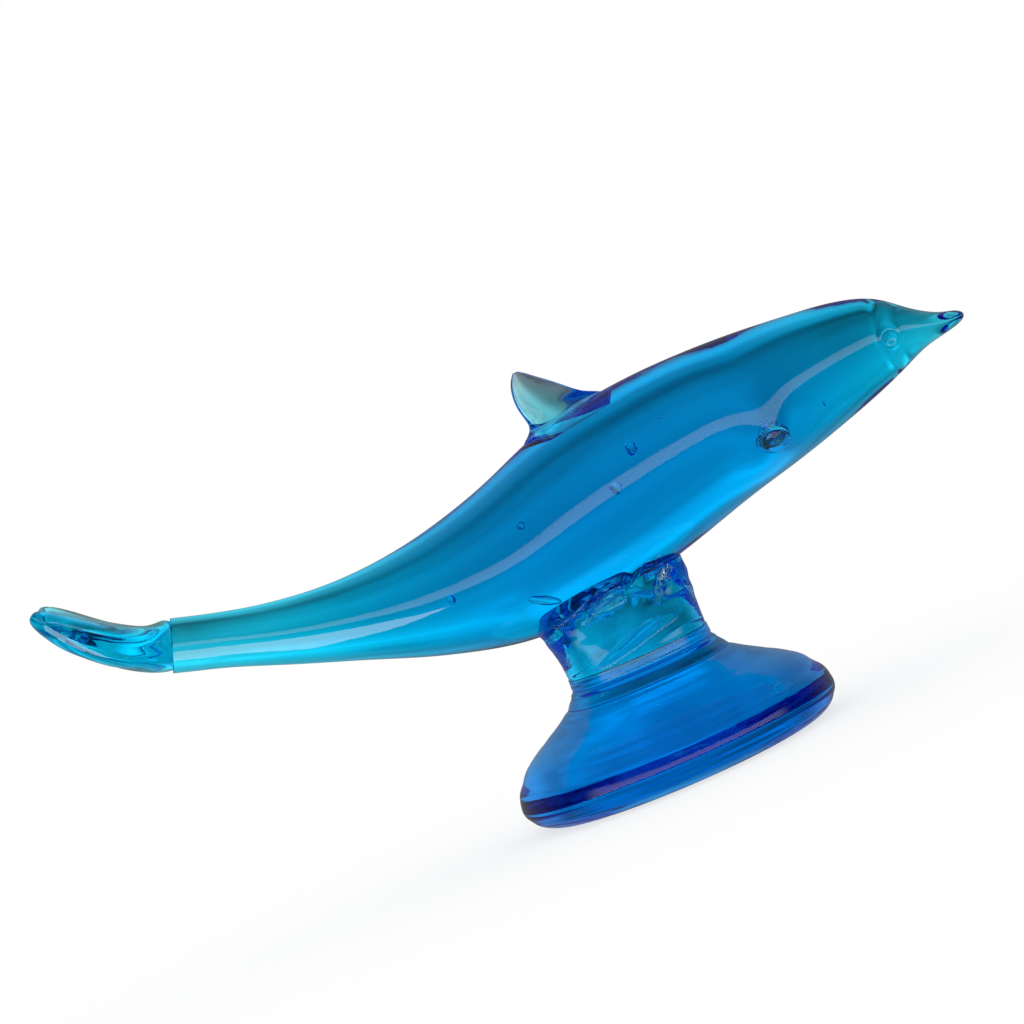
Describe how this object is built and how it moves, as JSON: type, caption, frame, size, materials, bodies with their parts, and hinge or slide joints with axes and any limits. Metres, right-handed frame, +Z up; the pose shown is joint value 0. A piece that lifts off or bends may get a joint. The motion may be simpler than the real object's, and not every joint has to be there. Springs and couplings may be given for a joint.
{
  "type": "glass dolphin figurine",
  "caption": "Solid blue crystal glass dolphin leaping from a round foot, with short fins and curled tail flukes; a free-standing ornament.",
  "frame": {"origin": "centre of the foot's flat underside", "axes": "+X along the dolphin towards its beak, +Y to the dolphin's left, +Z up"},
  "size_m": [0.2298, 0.08, 0.1028],
  "materials": {
    "aqua_glass": "clear aqua blue solid crystal glass, fire-polished",
    "pale_glass": "the same aqua glass where it is thin, nearly clear, fire-polished",
    "deep_blue_glass": "clear deep blue solid crystal glass, fire-polished, flat ground underside"
  },
  "bodies": {
    "root": {"foot": "deep_blue_glass", "neck": "aqua_glass", "body": "aqua_glass", "dorsal_fin": "pale_glass", "pectoral_fin_left": "aqua_glass", "pectoral_fin_right": "aqua_glass", "tail_fluke_left": "aqua_glass", "tail_fluke_right": "aqua_glass"}
  },
  "joints": []
}
